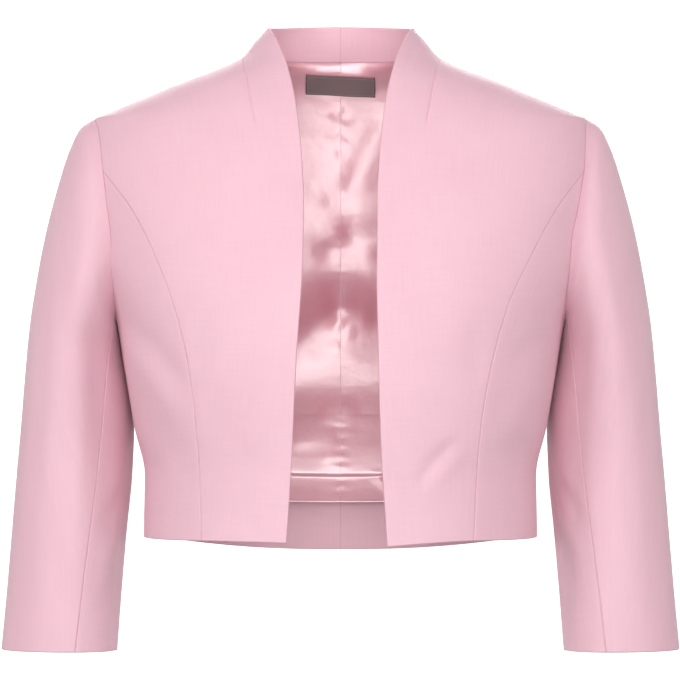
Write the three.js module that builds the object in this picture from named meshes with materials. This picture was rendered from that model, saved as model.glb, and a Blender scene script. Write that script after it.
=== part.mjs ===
// A cropped, open-fronted blazer with three-quarter sleeves, filled out as it is when worn.
// Millimetres. +Z is up, the fronts face -Y, and the wearer's left is +X.
// The origin lies midway between the two points where the shoulder seams meet the neck.
import * as THREE from "three";

// Cloth
const BODY_WALL = 2; // face cloth with its fused interlining
const SLEEVE_WALL = 1.8;
const LINING_WALL = 1;
const SEAM_GAP = 0.3;
const TURNED_HEM = 43; // height of the hem that is turned up inside the back
const TURNED_WALL = 1.2; // what the turned-up layer adds to the wall
const TURNED_STEP = 3; // the height over which that layer runs out

// Landmarks of the cut
const SHOULDER_TIP_Z = -52; // where the shoulder seam meets the sleeve
const ARMHOLE_HEIGHT = 170;
const UNDERARM_Z = SHOULDER_TIP_Z - ARMHOLE_HEIGHT;
const HEM_Z = -402;
const BACK_HEM = { drop: 14.6, curve: 2.4 }; // how far the hem dips at the centre back, and how squarely
const PRINCESS_TOP_Z = -97; // where the princess seam runs into the armhole
const FRONT_CORNER = { left: 4.3, right: 1, curve: 1.5 }; // how far a front corner hangs below the side seam
const OPENING_LEAN = { by: 3, full: -300, none: -119 }; // the fronts hang towards the wearer's right
const STAND_TOP = { side: 25.5, back: 29.2 }; // height of the stand collar above the neck seam
const STAND_PROUD = 5; // how far the stand's free edge springs off the neck

// How far each half of an armhole reaches from the side, and how much fuller it is below its middle.
// The fronts hang a little towards the wearer's left at the chest, so their armholes differ.
const ARMHOLE = {
  left: { front: { reach: 56, full: 0.22 }, back: { reach: 55, full: 0.15 } },
  right: { front: { reach: 60, full: 0.08 }, back: { reach: 55, full: 0.15 } },
};

// Level sections of the worn form, hem to collar: half width at the side, the rounder half width that the
// front and back curve from, depth in front and behind, and squareness.
const FORM = [
  { z: -425, width: 164.2, round: 164.2, front: 112, back: 86, square: 2.5 },
  { z: -402, width: 164.0, round: 164.0, front: 112, back: 86, square: 2.5 },
  { z: -350, width: 163.1, round: 163.1, front: 114.5, back: 85, square: 2.5 },
  { z: -310, width: 171.7, round: 171.7, front: 119, back: 86.5, square: 2.5 },
  { z: -272, width: 178.3, round: 178.3, front: 123, back: 89.5, square: 2.5 },
  { z: -222, width: 186.6, round: 186.6, front: 125, back: 94.5, square: 2.55 },
  { z: -200, width: 192.2, round: 192.2, front: 123.5, back: 96.5, square: 2.6 },
  { z: -175, width: 200.0, round: 200.0, front: 119.5, back: 98, square: 2.6 },
  { z: -153, width: 204.5, round: 204.5, front: 115, back: 98, square: 2.6 },
  { z: -122, width: 211.0, round: 211.0, front: 107, back: 96, square: 2.6 },
  { z: -97, width: 212.8, round: 212.8, front: 98, back: 92.5, square: 2.57 },
  { z: -75, width: 210.4, round: 207.5, front: 90, back: 88.5, square: 2.5 },
  { z: -52, width: 205.0, round: 189.0, front: 80, back: 82, square: 2.35 },
  { z: -26, width: 142.8, round: 139.5, front: 66, back: 73, square: 2.15 },
  { z: 0, width: 81.4, round: 81.4, front: 52, back: 62, square: 2 },
  { z: 12, width: 71.2, round: 71.2, front: 46, back: 57.5, square: 2 },
  { z: 30, width: 55.2, round: 55.2, front: 39, back: 52, square: 2 },
];
const SHOULDER_EDGE = { z: -50, width: 200.2 }; // keeps the shoulder seam straight up to its tip
const SHOULDER_SHARPNESS = 6; // how quickly a section leaves its sharp side for the rounder rest

// Half width of the opening between the fronts, hem to chest.
const OPENING = [
  { z: -410, x: 41.5 },
  { z: -329, x: 36.4 },
  { z: -245, x: 33.0 },
  { z: -175, x: 30.2 },
  { z: -119, x: 30.0 },
  { z: -97, x: 31.0 },
];

// The princess seam, hem to armhole, and how far it leans towards the wearer's left. It ends at the armhole.
const PRINCESS = [
  { z: -410, x: 111.0, lean: -2.4 },
  { z: -341, x: 113.7, lean: -1.9 },
  { z: -300, x: 117.4, lean: -1.7 },
  { z: -257, x: 124.0, lean: -0.5 },
  { z: -210, x: 136.3, lean: 0.3 },
  { z: -166, x: 154.9, lean: 2.2 },
  { z: -130, x: 173.9, lean: 2.9 },
];

// Where the front turns up into the stand: its free edge, and the neck dart that runs to the shoulder seam.
const SHAWL = [
  { edgeX: 31.0, edgeZ: -97, dartX: 66.0, dartZ: -97 },
  { edgeX: 32.2, edgeZ: -79, dartX: 68.0, dartZ: -79 },
  { edgeX: 34.0, edgeZ: -61, dartX: 70.2, dartZ: -62 },
  { edgeX: 36.5, edgeZ: -43, dartX: 73.0, dartZ: -46 },
  { edgeX: 40.0, edgeZ: -25, dartX: 75.6, dartZ: -32 },
  { edgeX: 45.0, edgeZ: -6, dartX: 78.2, dartZ: -19 },
  { edgeX: 50.5, edgeZ: 9, dartX: 80.2, dartZ: -9 },
  { edgeX: 55.7, edgeZ: 19, dartX: 81.4, dartZ: -2.6 },
  { edgeX: 59.7, edgeZ: 25, dartX: 82.0, dartZ: 0 },
];

// Sections of a sleeve, armhole to cuff: where each one's outer and inner edges lie.
const SLEEVE_EDGES = [
  { outX: 205, outY: 0, outZ: -52, inX: 186.8, inY: 0, inZ: -222 },
  { outX: 216.4, outY: 0, outZ: -59, inX: 188.8, inY: 0, inZ: -223.5 },
  { outX: 226, outY: 0, outZ: -77, inX: 189.2, inY: 2, inZ: -225 },
  { outX: 237, outY: 0, outZ: -111, inX: 188.6, inY: 6, inZ: -229 },
  { outX: 247.6, outY: 0, outZ: -153, inX: 186.9, inY: 12, inZ: -235 },
  { outX: 254.9, outY: 0, outZ: -192, inX: 185, inY: 19, inZ: -243 },
  { outX: 260, outY: 0, outZ: -226, inX: 182.4, inY: 24, inZ: -255 },
  { outX: 264, outY: 0, outZ: -268, inX: 177.9, inY: 25, inZ: -280 },
  { outX: 267.4, outY: 0, outZ: -310, inX: 174.9, inY: 23, inZ: -312 },
  { outX: 271, outY: -1, outZ: -350, inX: 175.8, inY: 15, inZ: -350 },
  { outX: 275, outY: -3, outZ: -400, inX: 180.2, inY: 4, inZ: -400 },
  { outX: 279.1, outY: -6, outZ: -450, inX: 184.2, inY: -4, inZ: -450 },
  { outX: 283.2, outY: -10, outZ: -496, inX: 187.7, inY: -10, inZ: -497 },
];

// The same sections' half depth, how much fuller they are below the middle, and the sleeve's front and back
// seams, A and B, in degrees round from the top by the front.
const SLEEVE_ROUND = [
  { depth: 56, full: 0.15, seamA: 152, seamB: 252 },
  { depth: 60, full: 0.15, seamA: 151, seamB: 252 },
  { depth: 63, full: 0.14, seamA: 150, seamB: 252 },
  { depth: 65, full: 0.13, seamA: 148, seamB: 251 },
  { depth: 66, full: 0.11, seamA: 145, seamB: 250 },
  { depth: 66, full: 0.09, seamA: 141, seamB: 249 },
  { depth: 64.5, full: 0.06, seamA: 134, seamB: 248 },
  { depth: 61, full: 0.03, seamA: 125, seamB: 246 },
  { depth: 56, full: 0, seamA: 119, seamB: 244 },
  { depth: 50, full: 0, seamA: 116, seamB: 243 },
  { depth: 45, full: 0, seamA: 113, seamB: 242 },
  { depth: 41, full: 0, seamA: 110, seamB: 241 },
  { depth: 38, full: 0, seamA: 108, seamB: 240 },
];
const CAP_STEPS = 3; // over these sections the sleeve goes from the armhole's own curve to a plain oval
const FIRST_RING = 0.35; // the first row of points past the armhole seam, in sections
const SET_OFF = 1.2; // a sleeve folded right back on the body is set off it by this many walls
const SLEEVE_ROWS = 19;

// The lining's ease fold above the turned-up hem: how far it stands off the back at a height above the hem.
const EASE_FOLD = [
  { above: 41, off: 3.4 },
  { above: 46, off: 5.6 },
  { above: 54, off: 8.4 },
  { above: 62, off: 7.2 },
  { above: 72, off: 3.2 },
  { above: 84, off: 1.8 },
];

const CUFF_GIRTH = 270; // the narrowest girth of a sleeve, which turns a seam's gap into degrees

const LABEL = { width: 60, height: 16.5, middleZ: -18.8, off: 4.2, tilt: 0.045 };

const radians = THREE.MathUtils.degToRad;
const lerp = THREE.MathUtils.lerp;
const smooth = THREE.MathUtils.smoothstep;

// A smooth curve through one column of a table, without overshoot, read at any value of the key column.
function along(table, key, column) {
  const t = table.map((row) => row[key]);
  const v = table.map((row) => row[column]);
  const slope = t.slice(1).map((x, i) => (v[i + 1] - v[i]) / (x - t[i]));
  const bend = t.map((x, i) => {
    if (i === 0) return slope[0];
    if (i === t.length - 1) return slope[i - 1];
    const [before, after] = [slope[i - 1], slope[i]];
    return before * after <= 0 ? 0 : (2 * before * after) / (before + after);
  });
  return (x) => {
    let i = 0;
    while (i < t.length - 2 && x > t[i + 1]) i++;
    const span = t[i + 1] - t[i];
    const s = THREE.MathUtils.clamp((x - t[i]) / span, 0, 1);
    const rise = s * s * (3 - 2 * s);
    const tangents = span * (bend[i] * s * (1 - s) ** 2 - bend[i + 1] * s * s * (1 - s));
    return lerp(v[i], v[i + 1], rise) + tangents;
  };
}

const shoulderRow = FORM.findIndex((row) => row.z > SHOULDER_EDGE.z);
const form = {
  roundWidth: along(FORM, "z", "round"),
  edgeWidth: along(FORM.toSpliced(shoulderRow, 0, SHOULDER_EDGE), "z", "width"),
  front: along(FORM, "z", "front"),
  back: along(FORM, "z", "back"),
  square: along(FORM, "z", "square"),
};

// The half width that a section has at a place round it: sharp at the shoulder seam and round away from it.
form.width = (z, turn = 0) => {
  const sharp = Math.cos(turn) ** SHOULDER_SHARPNESS;
  return lerp(form.roundWidth(z), form.edgeWidth(z), sharp);
};

// A point of the worn form on the wearer's left, from its turn round the body and its height. The turn is 0 at
// the side, a quarter turn at the centre front, and as much the other way at the centre back.
function formPoint({ turn, z }) {
  const power = 2 / form.square(z);
  const depth = turn > 0 ? form.front(z) : form.back(z);
  const [c, s] = [Math.cos(turn), Math.sin(turn)];
  return new THREE.Vector3(
    form.width(z, turn) * Math.sign(c) * Math.abs(c) ** power,
    -depth * Math.sign(s) * Math.abs(s) ** power,
    z,
  );
}

// The form's outward normal, from its slopes round the body and up it.
function formNormal({ turn, z }) {
  const step = { turn: 0.01, z: 0.5 };
  const round = formPoint({ turn: turn + step.turn, z }).sub(formPoint({ turn: turn - step.turn, z }));
  const up = formPoint({ turn, z: z + step.z }).sub(formPoint({ turn, z: z - step.z }));
  return up.cross(round).normalize();
}

// The place round the form where it is x wide at one height, found by closing in on it.
const turnAtX = (x, z) => {
  const passes = 6;
  let turn = 0;
  for (let pass = 0; pass < passes; pass++) {
    turn = Math.acos(Math.min(1, (x / form.width(z, turn)) ** (form.square(z) / 2)));
  }
  return turn;
};

// The place round the form where it is y deep at one height.
const turnAtY = (y, z) => {
  const depth = y < 0 ? form.front(z) : form.back(z);
  return -Math.sign(y) * Math.asin((Math.abs(y) / depth) ** (form.square(z) / 2));
};

// The height of the armhole at some degrees round it from the shoulder by the front, and the reverse.
const armholeZ = (degrees) => SHOULDER_TIP_Z - (ARMHOLE_HEIGHT / 2) * (1 - Math.cos(radians(degrees)));
const armholeAt = (z) => THREE.MathUtils.radToDeg(Math.acos(1 - (SHOULDER_TIP_Z - z) / (ARMHOLE_HEIGHT / 2)));

// The armhole's place on the form at some degrees round it.
function armhole(name, degrees) {
  const a = radians(degrees);
  const z = armholeZ(degrees);
  const { reach, full } = Math.sin(a) > 0 ? ARMHOLE[name].front : ARMHOLE[name].back;
  const y = -reach * Math.sin(a) * (1 - full * Math.cos(a));
  return { turn: turnAtY(y || 1e-9, z), z };
}

// A place moved along the form by a distance, to open a seam by half its gap.
function shifted(place, millimetres) {
  const step = 0.01;
  const round = formPoint({ turn: place.turn + step, z: place.z }).distanceTo(formPoint(place)) / step;
  return { turn: place.turn + millimetres / round, z: place.z };
}

const mix = (a, b, s) => ({ turn: lerp(a.turn, b.turn, s), z: lerp(a.z, b.z, s) });

// A sheet of quads: every cell of a grid that exists, with the point pair that place() gives for its corners.
function sheet(rows, columns, place, exists = () => true) {
  const points = [];
  const known = new Map();
  const at = (i, j) => {
    const key = i * (columns + 1) + j;
    if (!known.has(key)) known.set(key, points.push(place(i, j)) - 1);
    return known.get(key);
  };
  const quads = [];
  for (let i = 0; i < rows; i++) {
    for (let j = 0; j < columns; j++) {
      if (exists(i, j)) quads.push([at(i, j), at(i, j + 1), at(i + 1, j + 1), at(i + 1, j)]);
    }
  }
  return { points, quads };
}

// The closed wall of a sheet: its outer face, its inner face, and a strip round each open edge.
function wallGeometry({ points, quads }, flip) {
  const count = points.length;
  const faces = [];
  const open = new Map();
  for (const [a, b, c, d] of quads) {
    faces.push([a, b, c], [a, c, d]);
    faces.push([a + count, c + count, b + count], [a + count, d + count, c + count]);
    for (const [from, to] of [[a, b], [b, c], [c, d], [d, a]]) {
      if (!open.delete(`${to} ${from}`)) open.set(`${from} ${to}`, [from, to]);
    }
  }
  for (const [from, to] of open.values()) {
    // The strips on both sides of a seam split along the same diagonal.
    const [outerEnd, innerEnd] = from < to ? [to, from + count] : [from, to + count];
    faces.push([to, from, innerEnd], [outerEnd, from + count, to + count]);
  }
  const positions = [...points.map((p) => p.outer), ...points.map((p) => p.inner)];
  const geometry = new THREE.BufferGeometry().setFromPoints(positions);
  geometry.setIndex(faces.flatMap(([a, b, c]) => (flip ? [a, c, b] : [a, b, c])));
  geometry.computeVertexNormals();
  return geometry;
}

const mirrored = (v, side) => new THREE.Vector3(v.x * side, v.y, v.z);

// A wall that lies on the form: the pair of points at a place, with the wall's middle lifted off the form.
function onForm(side, place, wall, lift = 0, extraInside = 0) {
  const normal = formNormal(place);
  const middle = formPoint(place);
  return {
    outer: mirrored(middle.clone().addScaledVector(normal, lift + wall / 2), side),
    inner: mirrored(middle.clone().addScaledVector(normal, lift - wall / 2 - extraInside), side),
  };
}

const PINK = new THREE.MeshStandardMaterial({ color: 0xf4c6d3, roughness: 0.85, metalness: 0 });
const SATIN = new THREE.MeshStandardMaterial({ color: 0xe0b3bd, roughness: 0.3, metalness: 0 });
const LABEL_SATIN = new THREE.MeshStandardMaterial({ color: 0x64514f, roughness: 0.5, metalness: 0 });

const jacket = new THREE.Group();

function addPiece(name, sheetOfCloth, material, flip) {
  const mesh = new THREE.Mesh(wallGeometry(sheetOfCloth, flip), material);
  mesh.name = name;
  jacket.add(mesh);
}

// How finely the pieces are drawn. Pieces that meet share their rows or columns along the seam.
const NECK_COLUMNS = 5; // from the neck point round to the centre back
const BACK_COLUMNS = 12; // the first ones end at the neck seam and the rest at the shoulder seam
const BACK_UPPER_ROWS = 12; // above the underarm
const PRINCESS_ROWS = { lower: 9, upper: 7 }; // below and above the underarm

const openingHalf = along(OPENING, "z", "x");
const sideOfName = { left: 1, right: -1 };

// The princess seam's distance from the middle on each side, up to where it meets that side's armhole.
const princessHalf = Object.fromEntries(
  Object.entries(sideOfName).map(([name, side]) => {
    const leaning = PRINCESS.map(({ z, x, lean }) => ({ z, x: x + side * lean }));
    const top = formPoint(armhole(name, armholeAt(PRINCESS_TOP_Z)));
    return [name, along([...leaning, top], "z", "x")];
  }),
);

// The height of a row that the front's two panels share along the princess seam, hem to armhole.
function princessLevel(i) {
  const share = i / PRINCESS_ROWS.lower;
  if (share <= 1) return lerp(HEM_Z, UNDERARM_Z, share);
  return armholeZ(lerp(180, armholeAt(PRINCESS_TOP_Z), (i - PRINCESS_ROWS.lower) / PRINCESS_ROWS.upper));
}

// The front's hem: level to the princess seam, then dropping to the corner.
function frontHem(name, x) {
  const corner = openingHalf(HEM_Z);
  const seam = princessHalf[name](HEM_Z);
  const share = THREE.MathUtils.clamp((seam - x) / (seam - corner), 0, 1);
  return HEM_Z - FRONT_CORNER[name] * share ** FRONT_CORNER.curve;
}

// The opening edge: both fronts hang a little towards one side, more so below the chest.
function openingX(name, z) {
  const lean = OPENING_LEAN.by * (1 - smooth(z, OPENING_LEAN.full, OPENING_LEAN.none));
  return openingHalf(z) - sideOfName[name] * lean;
}

// Front with its cut-on stand, which runs round the neck to the centre back.
function front(name) {
  const rows = { body: PRINCESS_ROWS.lower + PRINCESS_ROWS.upper, shawl: 8, stand: NECK_COLUMNS };
  const columns = { shawl: 4, panel: 8 };
  const dartShare = 0.3; // at the hem, where the dart's column lies between the opening and the princess seam
  const top = rows.body + rows.shawl;
  const half = SEAM_GAP / 2;
  const shawl = (row, column) => lerpRow(SHAWL, row / rows.shawl, column);
  const place = (i, j) => {
    const inShawl = Math.min(1, j / columns.shawl);
    const inPanel = Math.max(0, (j - columns.shawl) / columns.panel);
    if (i > top) {
      const round = lerp(0, turnAtX(half, 0), (i - top) / rows.stand);
      const topZ = lerp(STAND_TOP.side, STAND_TOP.back, Math.sin(round) ** 2);
      return { place: { turn: -round, z: lerp(topZ, half, inShawl) }, proud: 0 };
    }
    if (i > rows.body) {
      const row = i - rows.body;
      const dartZ = shawl(row, "dartZ");
      const dart = { turn: turnAtX(shawl(row, "dartX"), dartZ), z: dartZ };
      const last = i === top;
      if (last) dart.turn = turnAtY(-half, dartZ);
      if (j > columns.shawl) {
        const around = lerp(armholeAt(PRINCESS_TOP_Z), 0, row / rows.shawl);
        const tip = { turn: turnAtY(-half, SHOULDER_TIP_Z), z: SHOULDER_TIP_Z };
        const outer = last ? tip : shifted(armhole(name, around), half);
        return { place: mix(dart, outer, inPanel), proud: 0 };
      }
      const edgeZ = shawl(row, "edgeZ");
      const edge = { turn: turnAtX(shawl(row, "edgeX"), edgeZ), z: edgeZ };
      const proud = STAND_PROUD * Math.sin((Math.PI * row) / rows.shawl) ** 2 * (1 - inShawl);
      return { place: mix(edge, dart, inShawl), proud };
    }
    const level = princessLevel(i);
    const share = (level - HEM_Z) / (PRINCESS_TOP_Z - HEM_Z);
    const edgeX = openingX(name, level);
    const dartX = lerp(lerp(edgeX, princessHalf[name](level), dartShare), SHAWL[0].dartX, share ** 2);
    const edge = turnAtX(edgeX, level);
    const dart = turnAtX(dartX, level);
    const outer = shifted({ turn: turnAtX(princessHalf[name](level), level), z: level }, half).turn;
    const turn = inPanel ? lerp(dart, outer, inPanel) : lerp(edge, dart, inShawl);
    const x = formPoint({ turn, z: level }).x;
    const drop = (frontHem(name, x) - HEM_Z) * (1 - share) ** 2;
    return { place: { turn, z: level + drop }, proud: 0 };
  };
  const pair = (i, j) => {
    const at = place(i, j);
    return onForm(sideOfName[name], at.place, BODY_WALL, at.proud);
  };
  const exists = (i, j) => i < top || j < columns.shawl;
  const piece = sheet(top + rows.stand, columns.shawl + columns.panel, pair, exists);
  addPiece(`front_${name}`, piece, PINK, sideOfName[name] < 0);
}

// One column of a table read at a share of its length, straight between rows.
function lerpRow(table, share, column) {
  const at = share * (table.length - 1);
  const i = Math.min(table.length - 2, Math.floor(at));
  return lerp(table[i][column], table[i + 1][column], at - i);
}

// Side front: from the princess seam to the side seam, and up to a point in the armhole.
function sideFront(name) {
  const rows = PRINCESS_ROWS.lower + PRINCESS_ROWS.upper;
  const columns = 6;
  const half = SEAM_GAP / 2;
  const pointShare = 0.86; // the panel narrows to a point, which stops short by this share of its last row
  const seamAt = (row) => {
    const level = princessLevel(row);
    return shifted({ turn: turnAtX(princessHalf[name](level), level), z: level }, -half);
  };
  const pair = (i, j) => {
    const seam = i < rows ? seamAt(i) : mix(seamAt(rows - 1), seamAt(rows), pointShare);
    const outer =
      i <= PRINCESS_ROWS.lower
        ? { turn: turnAtY(-half, seam.z), z: seam.z }
        : shifted(armhole(name, armholeAt(seam.z)), half);
    return onForm(sideOfName[name], mix(seam, outer, j / columns), BODY_WALL);
  };
  addPiece(`side_front_${name}`, sheet(rows, columns, pair), PINK, sideOfName[name] < 0);
}

const backHem = (x) => HEM_Z - BACK_HEM.drop * (1 - (x / form.width(HEM_Z)) ** BACK_HEM.curve);

// A place on the back above the underarm: from level rows to the neck and shoulder seams.
function backPlace(name, up, across) {
  const half = SEAM_GAP / 2;
  const centre = (z) => ({ turn: -turnAtX(half, z), z });
  const side = (z) => ({ turn: turnAtY(half, z), z });
  if (up <= 0) return mix(centre(UNDERARM_Z), side(UNDERARM_Z), across);
  const neckShare = NECK_COLUMNS / BACK_COLUMNS;
  const corner = side(-half);
  const tip = side(SHOULDER_TIP_Z);
  const top =
    across < neckShare
      ? mix(centre(-half), corner, across / neckShare)
      : mix(corner, tip, (across - neckShare) / (1 - neckShare));
  const around = lerp(180, 360, up);
  const outer = up < 1 ? shifted(armhole(name, around), -half) : tip;
  const middle = centre(lerp(UNDERARM_Z, -half, up));
  const straight = mix(middle, outer, across);
  const straightTop = mix(centre(-half), tip, across);
  return {
    turn: straight.turn + up * up * (top.turn - straightTop.turn),
    z: straight.z + up * up * (top.z - straightTop.z),
  };
}

// Back half, with its hem turned up inside.
function back(name) {
  const rows = { hem: 2, lower: 8, upper: BACK_UPPER_ROWS };
  const pair = (i, j) => {
    const across = j / BACK_COLUMNS;
    const lower = rows.hem + rows.lower;
    if (i > lower) {
      const upper = backPlace(name, (i - lower) / rows.upper, across);
      return onForm(sideOfName[name], upper, BODY_WALL);
    }
    const base = backPlace(name, 0, across);
    const x = formPoint({ turn: base.turn, z: HEM_Z }).x;
    const above =
      i <= 1 ? i * TURNED_HEM : lerp(TURNED_HEM + TURNED_STEP, UNDERARM_Z - backHem(x), (i - 2) / rows.lower);
    const place = { turn: base.turn, z: backHem(x) + above };
    return onForm(sideOfName[name], place, BODY_WALL, 0, i <= 1 ? TURNED_WALL : 0);
  };
  const total = rows.hem + rows.lower + rows.upper;
  addPiece(`back_${name}`, sheet(total, BACK_COLUMNS, pair), PINK, sideOfName[name] > 0);
}

// Back lining half: it hangs just inside the back and ends in an ease fold over the turned-up hem.
function backLining(name) {
  const rows = { fold: 7, lower: 5, upper: BACK_UPPER_ROWS };
  const off = along(EASE_FOLD, "above", "off");
  const [foldFrom, foldTo] = [EASE_FOLD[0].above, EASE_FOLD.at(-1).above];
  const pair = (i, j) => {
    const across = j / BACK_COLUMNS;
    const lower = rows.fold + rows.lower;
    if (i > lower) {
      const upper = backPlace(name, (i - lower) / rows.upper, across);
      return onForm(sideOfName[name], upper, LINING_WALL, -off(foldTo));
    }
    const base = backPlace(name, 0, across);
    const hem = backHem(formPoint({ turn: base.turn, z: HEM_Z }).x);
    const above =
      i <= rows.fold
        ? lerp(foldFrom, foldTo, i / rows.fold)
        : lerp(foldTo, UNDERARM_Z - hem, (i - rows.fold) / rows.lower);
    return onForm(sideOfName[name], { turn: base.turn, z: hem + above }, LINING_WALL, -off(above));
  };
  const total = rows.fold + rows.lower + rows.upper;
  addPiece(`back_lining_${name}`, sheet(total, BACK_COLUMNS, pair), SATIN, sideOfName[name] > 0);
}

// The sleeve's sections, and each column of them as a smooth curve along the sleeve.
const SLEEVE = SLEEVE_EDGES.map((edges, step) => ({ step, ...edges, ...SLEEVE_ROUND[step] }));
const sleeveColumn = Object.fromEntries(
  Object.keys(SLEEVE[0]).map((column) => [column, along(SLEEVE, "step", column)]),
);

// A point of the sleeve on the wearer's left: at a step along it and some degrees round it.
function sleevePoint(name, step, degrees) {
  const a = radians(degrees);
  const at = Object.fromEntries(Object.entries(sleeveColumn).map(([column, read]) => [column, read(step)]));
  const point = ovalPoint(at, a);
  if (step < CAP_STEPS) {
    const seam = formPoint(armhole(name, degrees)).sub(ovalPoint(SLEEVE[0], a));
    point.addScaledVector(seam, (1 - step / CAP_STEPS) ** 2);
  }
  return point;
}

// A point of the plain oval that a section of the sleeve is.
function ovalPoint(section, angle) {
  const outer = new THREE.Vector3(section.outX, section.outY, section.outZ);
  const inner = new THREE.Vector3(section.inX, section.inY, section.inZ);
  const point = outer.lerp(inner, (1 - Math.cos(angle)) / 2);
  point.y -= section.depth * Math.sin(angle) * (1 - section.full * Math.cos(angle));
  return point;
}

// The sleeve's outward normal, from its slopes along and round it.
function sleeveNormal(name, step, degrees) {
  const small = { step: 0.02, degrees: 1 };
  const [low, high] = [Math.max(0, step - small.step), Math.min(SLEEVE.length - 1, step + small.step)];
  const down = sleevePoint(name, high, degrees).sub(sleevePoint(name, low, degrees));
  const [before, after] = [-1, 1].map((sign) => sleevePoint(name, step, degrees + sign * small.degrees));
  const round = after.sub(before);
  return round.cross(down).normalize();
}

// A sleeve panel between two seams: the top sleeve is outside and the under sleeve faces the body.
function sleevePanel(name, part, columns) {
  const last = SLEEVE.length - 1;
  const pair = (i, j) => {
    const step = i === 0 ? 0 : lerp(FIRST_RING, last, (i - 1) / (SLEEVE_ROWS - 1));
    const [from, to] =
      part === "top_sleeve"
        ? [sleeveColumn.seamB(step) - 360, sleeveColumn.seamA(step)]
        : [sleeveColumn.seamA(step), sleeveColumn.seamB(step)];
    const half = (SEAM_GAP / 2 / CUFF_GIRTH) * 360;
    const degrees = lerp(from + half, to - half, j / columns);
    const point = sleevePoint(name, step, degrees);
    const normal = sleeveNormal(name, Math.max(step, FIRST_RING), degrees);
    if (step < CAP_STEPS) {
      // The sleeve is set in off the body where the two fold back on each other.
      const start = sleeveNormal(name, FIRST_RING, degrees);
      const fold = (1 - formNormal(armhole(name, degrees)).dot(start)) / 2;
      point.x += (SEAM_GAP + BODY_WALL * SET_OFF * Math.sqrt(fold)) * (1 - step / CAP_STEPS) ** 2;
    }
    return {
      outer: mirrored(point.clone().addScaledVector(normal, SLEEVE_WALL / 2), sideOfName[name]),
      inner: mirrored(point.clone().addScaledVector(normal, -SLEEVE_WALL / 2), sideOfName[name]),
    };
  };
  addPiece(`${part}_${name}`, sheet(SLEEVE_ROWS, columns, pair), PINK, sideOfName[name] < 0);
}

// The plain woven label, sewn to the lining below the neck seam.
function label() {
  const columns = 8;
  const pair = (i, j) => {
    const x = lerp(-LABEL.width / 2, LABEL.width / 2, j / columns);
    const z = LABEL.middleZ + LABEL.height * (i - 0.5) - LABEL.tilt * x;
    const turn = -turnAtX(Math.abs(x), z);
    const at = onForm(1, { turn, z }, LINING_WALL, -LABEL.off);
    return x < 0 ? { outer: mirrored(at.outer, -1), inner: mirrored(at.inner, -1) } : at;
  };
  addPiece("label", sheet(1, columns, pair), LABEL_SATIN, true);
}

for (const name of ["left", "right"]) {
  front(name);
  sideFront(name);
  back(name);
  sleevePanel(name, "top_sleeve", 15);
  sleevePanel(name, "under_sleeve", 7);
  backLining(name);
}
label();

export default jacket;
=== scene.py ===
import math

import bmesh
import bpy
import numpy as np
from mathutils import Matrix, Vector
from mathutils.kdtree import KDTree


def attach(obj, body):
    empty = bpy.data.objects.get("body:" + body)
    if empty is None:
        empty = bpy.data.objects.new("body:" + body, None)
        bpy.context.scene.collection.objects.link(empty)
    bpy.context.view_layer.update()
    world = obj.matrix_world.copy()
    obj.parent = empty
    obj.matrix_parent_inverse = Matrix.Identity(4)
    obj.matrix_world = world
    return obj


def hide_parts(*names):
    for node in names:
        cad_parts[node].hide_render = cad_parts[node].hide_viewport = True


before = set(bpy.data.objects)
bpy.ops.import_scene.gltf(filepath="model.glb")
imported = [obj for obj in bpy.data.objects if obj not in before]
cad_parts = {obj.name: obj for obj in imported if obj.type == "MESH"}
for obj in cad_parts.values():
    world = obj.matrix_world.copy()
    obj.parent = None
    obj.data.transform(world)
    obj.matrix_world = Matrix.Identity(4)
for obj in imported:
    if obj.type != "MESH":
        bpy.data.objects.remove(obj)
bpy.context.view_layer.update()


# Camera
# It stands level with the middle of the jacket, four metres in front, with a long lens, as for a catalogue
# picture.
eye = bpy.data.objects.new("eye", bpy.data.cameras.new("eye"))
bpy.context.scene.collection.objects.link(eye)
PICTURE_WIDTH = 0.5712  # how much of the jacket's plane the frame takes in
eye.location = (-0.0004, -4.0, -0.237)
eye.rotation_euler = (math.radians(90), 0, 0)
eye.data.sensor_width = 36
eye.data.lens = eye.data.sensor_width * -eye.location.y / PICTURE_WIDTH
bpy.context.scene.camera = eye
bpy.context.scene.view_settings.view_transform = "Standard"


# Studio
# A plain white floor that sweeps up into a wall, with a painted glow that goes over to pure white towards the
# wall. Soft lights stand before the jacket, above it, on each side and behind it, a narrow one inside it
# reaches the lining, and a low card shows in the satin's gloss only.
FLOOR_Z = -1.3
FLOOR_REACH = 9.0
FLOOR_HALF_WIDTH = 24.0
SWEEP_RADIUS = 0.9
SWEEP_STEPS = 12
WALL_TOP = 3.5
LAMPS_AIM = (0, 0, -0.22)


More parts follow.
